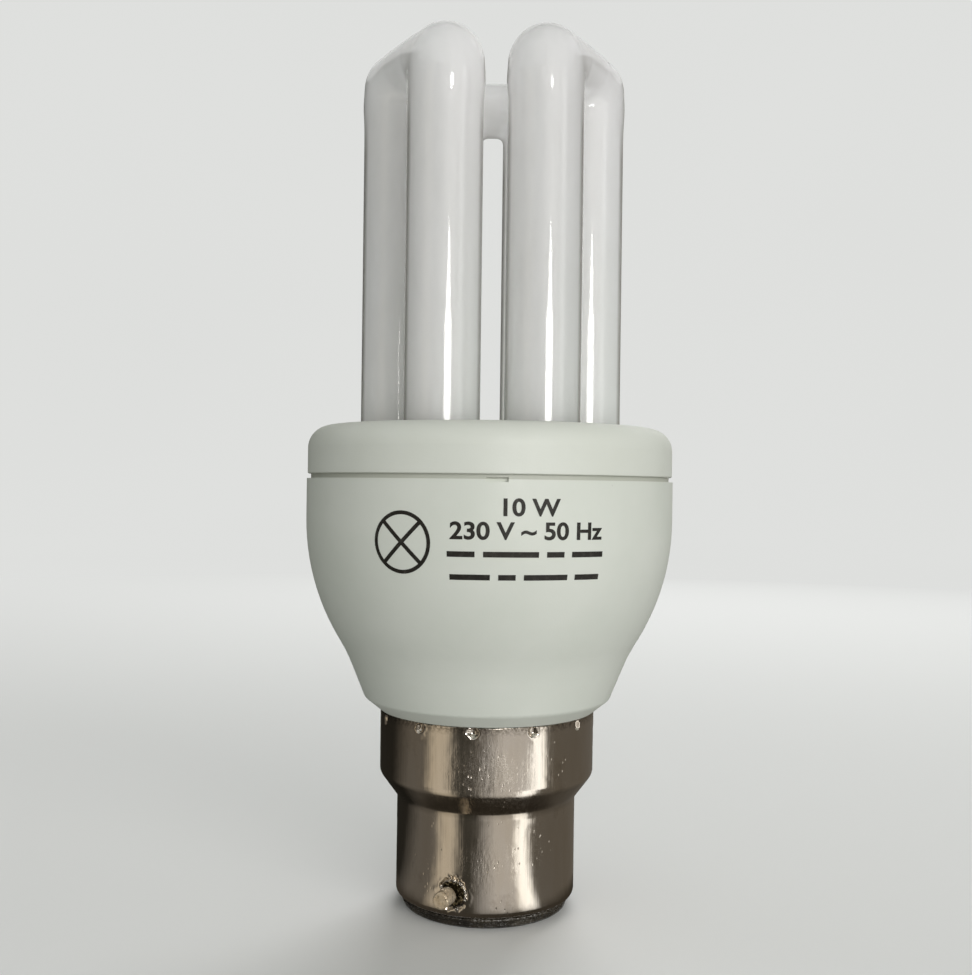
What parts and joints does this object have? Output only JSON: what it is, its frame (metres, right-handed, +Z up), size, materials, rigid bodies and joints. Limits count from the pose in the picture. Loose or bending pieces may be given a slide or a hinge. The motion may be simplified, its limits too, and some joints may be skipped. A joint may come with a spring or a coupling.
{
  "type": "stick compact fluorescent bulb",
  "caption": "Compact fluorescent lamp: U-bent glass tubes stand in a round white ballast housing on a metal bayonet cap.",
  "frame": {"origin": "centre of the insulator's foot, on the lamp's axis", "axes": "+Z up the lamp's axis from the cap to the tube's bends, -Y towards the viewer of the picture, +X to the viewer's right"},
  "size_m": [0.045, 0.045, 0.1047],
  "materials": {
    "phosphor_glass": "clear gloss over white powder",
    "cement": "matte",
    "cover_plastic": "satin",
    "housing_plastic": "satin",
    "cap_metal": "nickel plate, finely scratched",
    "pin_metal": "nickel plate, worn",
    "black_glass": "gloss",
    "contact_brass": "satin",
    "solder": "satin",
    "board_laminate": "matte",
    "capacitor_sleeve": "gloss",
    "ferrite": "matte",
    "bobbin_plastic": "satin",
    "copper_wire": "enamelled",
    "resistor_sleeve": "woven glass",
    "resistor_body": "satin",
    "diode_glass": "gloss",
    "film_case": "gloss",
    "transistor_case": "matte",
    "tinned_wire": "bright",
    "lead_insulation": "satin"
  },
  "bodies": {
    "root": {"bayonet_pin_back": "pin_metal", "bayonet_pin_front": "pin_metal", "cap_insulator": "black_glass", "cap_shell": "cap_metal", "circuit_board": "board_laminate", "contact_plate_live": "contact_brass", "contact_plate_neutral": "contact_brass", "contact_solder_live": "solder", "contact_solder_neutral": "solder", "coupling_capacitor": "film_case", "discharge_tube": "phosphor_glass", "drive_core": "ferrite", "drive_winding_1": "copper_wire", "drive_winding_2": "copper_wire", "drive_winding_3": "copper_wire", "filament_lead_1": "tinned_wire", "filament_lead_2": "tinned_wire", "filament_lead_3": "tinned_wire", "filament_lead_4": "tinned_wire", "filter_choke_core": "ferrite", "filter_choke_winding": "copper_wire", "fusible_resistor": "resistor_sleeve", "lamp_choke_bobbin": "bobbin_plastic", "lamp_choke_core": "ferrite", "lamp_choke_winding": "copper_wire", "lower_housing": "housing_plastic", "rectifier_diode_1": "transistor_case", "rectifier_diode_2": "transistor_case", "rectifier_diode_3": "transistor_case", "rectifier_diode_4": "transistor_case", "resonant_capacitor": "film_case", "smoothing_capacitor": "capacitor_sleeve", "start_capacitor": "film_case", "start_resistor": "resistor_body", "supply_lead_live": "lead_insulation", "supply_lead_neutral": "lead_insulation", "transistor_1": "transistor_case", "transistor_2": "transistor_case", "trigger_diac": "diode_glass", "tube_cement": "cement", "upper_cover": "cover_plastic", "wire_post_1": "tinned_wire", "wire_post_2": "tinned_wire", "wire_post_3": "tinned_wire", "wire_post_4": "tinned_wire"}
  },
  "joints": []
}
